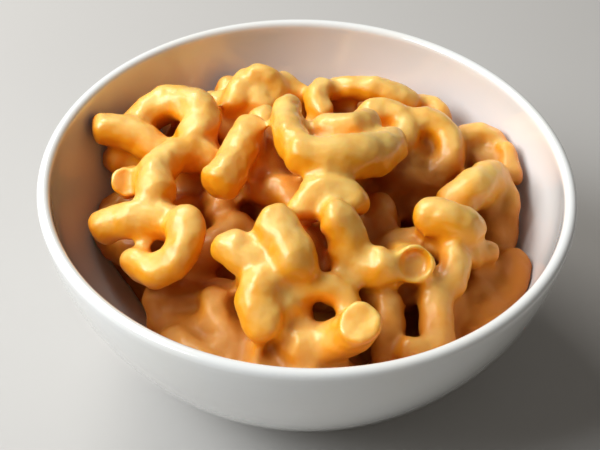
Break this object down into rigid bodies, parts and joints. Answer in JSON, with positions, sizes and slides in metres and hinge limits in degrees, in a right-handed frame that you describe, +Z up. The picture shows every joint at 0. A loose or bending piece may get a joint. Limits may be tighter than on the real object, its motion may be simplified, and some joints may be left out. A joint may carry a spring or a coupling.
{
  "type": "macaroni and cheese in a bowl",
  "caption": "Round flared porcelain bowl on a low foot, filled with a domed heap of elbow macaroni stuck together in smooth cheese sauce.",
  "frame": {"origin": "middle of the bowl's foot ring, on the surface it stands on", "axes": "+Z up through the middle of the bowl, -Y towards the person who eats, +X to their right"},
  "size_m": [0.14, 0.14, 0.0708],
  "materials": {
    "porcelain": "white glazed porcelain, glossy",
    "cheesy_pasta": "elbow pasta coated in smooth, wet cheese sauce"
  },
  "bodies": {
    "root": {"bowl": "porcelain", "macaroni": "cheesy_pasta"}
  },
  "joints": []
}
